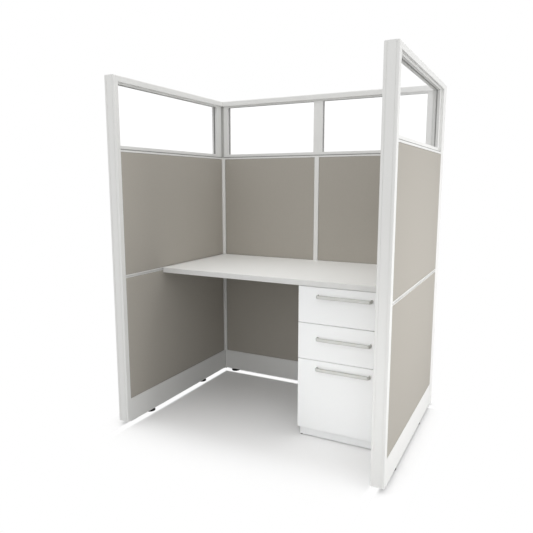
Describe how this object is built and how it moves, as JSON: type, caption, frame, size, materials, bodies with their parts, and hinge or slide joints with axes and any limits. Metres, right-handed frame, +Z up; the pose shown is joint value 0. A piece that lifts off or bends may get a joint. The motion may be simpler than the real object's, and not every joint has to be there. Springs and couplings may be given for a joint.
{
  "type": "cubicle workstation",
  "caption": "Office cubicle: three fabric-tiled walls with a glass top row, a white worksurface and a pedestal of drawers.",
  "frame": {"origin": "on the floor, at the middle of the footprint", "axes": "+Z up; -Y towards the open front where the user enters; +X towards the wing beside the pedestal"},
  "size_m": [1.334, 0.971, 1.669],
  "materials": {
    "frame_steel": "semi-gloss powder coat",
    "tile_fabric": "matte woven panel cloth",
    "trim_paint": "satin white powder coat",
    "corner_paint": "satin grey powder coat",
    "clear_glass": "clear float glass",
    "glazing_rubber": "matte grey gasket",
    "cap_plastic": "satin white moulding",
    "glide_black": "matte black",
    "worktop_laminate": "fine-textured white laminate",
    "edge_band": "satin white band",
    "bracket_paint": "grey powder coat",
    "case_paint": "satin white powder coat",
    "plinth_board": "white laminate",
    "stud_plastic": "matte black",
    "front_laminate": "smooth white laminate",
    "box_paint": "light grey powder coat",
    "pull_metal": "satin",
    "slide_zinc": "zinc-plated",
    "slide_balls": "zinc-plated with polished balls"
  },
  "bodies": {
    "workstation": {"left_wing_frame": "frame_steel", "right_wing_frame": "frame_steel", "back_left_frame": "frame_steel", "back_right_frame": "frame_steel", "left_wing_inner_tiles": "tile_fabric", "left_wing_outer_tiles": "tile_fabric", "right_wing_inner_tiles": "tile_fabric", "right_wing_outer_tiles": "tile_fabric", "back_left_inner_tiles": "tile_fabric", "back_left_outer_tiles": "tile_fabric", "back_right_inner_tiles": "tile_fabric", "back_right_outer_tiles": "tile_fabric", "wing_base_covers": "trim_paint", "back_base_covers": "trim_paint", "split_rails": "trim_paint", "ledges": "trim_paint", "wing_glass_frames": "trim_paint", "back_glass_frames": "trim_paint", "top_caps": "trim_paint", "front_end_posts": "trim_paint", "corner_covers": "trim_paint", "seam_strips": "trim_paint", "corner_posts": "corner_paint", "wing_glass": "clear_glass", "back_glass": "clear_glass", "glazing_gaskets": "glazing_rubber", "post_caps": "cap_plastic", "worksurface": "worktop_laminate", "edge_bands": "edge_band", "side_bracket": "bracket_paint", "cantilever_bracket": "bracket_paint", "pedestal_sides": "case_paint", "pedestal_back": "case_paint", "pedestal_top_bottom": "case_paint", "plinth": "plinth_board", "plinth_glides": "stud_plastic", "cabinet_members": "slide_zinc"},
    "upper_drawer": {"upper_front": "front_laminate", "upper_box": "box_paint", "upper_pull": "pull_metal", "upper_drawer_members": "slide_zinc"},
    "upper_slide_middle": {"upper_ball_members": "slide_balls"},
    "middle_drawer": {"middle_front": "front_laminate", "middle_box": "box_paint", "middle_pull": "pull_metal", "middle_drawer_members": "slide_zinc"},
    "middle_slide_middle": {"middle_ball_members": "slide_balls"},
    "file_drawer": {"file_front": "front_laminate", "file_box": "box_paint", "file_pull": "pull_metal", "file_drawer_members": "slide_zinc"},
    "file_slide_middle": {"file_ball_members": "slide_balls"},
    "left_wing_front_glide_foot": {"left_wing_front_glide": "glide_black"},
    "left_wing_rear_glide_foot": {"left_wing_rear_glide": "glide_black"},
    "right_wing_front_glide_foot": {"right_wing_front_glide": "glide_black"},
    "right_wing_rear_glide_foot": {"right_wing_rear_glide": "glide_black"},
    "back_left_corner_glide_foot": {"back_left_corner_glide": "glide_black"},
    "back_left_seam_glide_foot": {"back_left_seam_glide": "glide_black"},
    "back_right_corner_glide_foot": {"back_right_corner_glide": "glide_black"},
    "back_right_seam_glide_foot": {"back_right_seam_glide": "glide_black"}
  },
  "joints": [
    {"name": "upper_drawer_slide", "type": "slide", "parent": "workstation", "child": "upper_drawer", "axis": [0, -1, 0], "range_m": [0, 0.45]},
    {"name": "upper_middle_slide", "type": "slide", "parent": "workstation", "child": "upper_slide_middle", "axis": [0, -1, 0], "range_m": [0, 0.225]},
    {"name": "middle_drawer_slide", "type": "slide", "parent": "workstation", "child": "middle_drawer", "axis": [0, -1, 0], "range_m": [0, 0.45]},
    {"name": "middle_middle_slide", "type": "slide", "parent": "workstation", "child": "middle_slide_middle", "axis": [0, -1, 0], "range_m": [0, 0.225]},
    {"name": "file_drawer_slide", "type": "slide", "parent": "workstation", "child": "file_drawer", "axis": [0, -1, 0], "range_m": [0, 0.45]},
    {"name": "file_middle_slide", "type": "slide", "parent": "workstation", "child": "file_slide_middle", "axis": [0, -1, 0], "range_m": [0, 0.225]},
    {"name": "left_wing_front_glide_turn", "type": "hinge", "parent": "workstation", "child": "left_wing_front_glide_foot", "pos_m": [-0.6385, -0.2815, 0], "axis": [0, 0, 1], "continuous": true},
    {"name": "left_wing_rear_glide_turn", "type": "hinge", "parent": "workstation", "child": "left_wing_rear_glide_foot", "pos_m": [-0.6385, 0.2005, 0], "axis": [0, 0, 1], "continuous": true},
    {"name": "right_wing_front_glide_turn", "type": "hinge", "parent": "workstation", "child": "right_wing_front_glide_foot", "pos_m": [0.6385, -0.2815, 0], "axis": [0, 0, 1], "continuous": true},
    {"name": "right_wing_rear_glide_turn", "type": "hinge", "parent": "workstation", "child": "right_wing_rear_glide_foot", "pos_m": [0.6385, 0.2005, 0], "axis": [0, 0, 1], "continuous": true},
    {"name": "back_left_corner_glide_turn", "type": "hinge", "parent": "workstation", "child": "back_left_corner_glide_foot", "pos_m": [-0.551, 0.457, 0], "axis": [0, 0, 1], "continuous": true},
    {"name": "back_left_seam_glide_turn", "type": "hinge", "parent": "workstation", "child": "back_left_seam_glide_foot", "pos_m": [-0.059, 0.457, 0], "axis": [0, 0, 1], "continuous": true},
    {"name": "back_right_corner_glide_turn", "type": "hinge", "parent": "workstation", "child": "back_right_corner_glide_foot", "pos_m": [0.551, 0.457, 0], "axis": [0, 0, 1], "continuous": true},
    {"name": "back_right_seam_glide_turn", "type": "hinge", "parent": "workstation", "child": "back_right_seam_glide_foot", "pos_m": [0.059, 0.457, 0], "axis": [0, 0, 1], "continuous": true}
  ],
  "couplings": [
    {"joint": "upper_middle_slide", "follows": "upper_drawer_slide", "ratio": 0.5},
    {"joint": "middle_middle_slide", "follows": "middle_drawer_slide", "ratio": 0.5},
    {"joint": "file_middle_slide", "follows": "file_drawer_slide", "ratio": 0.5}
  ]
}
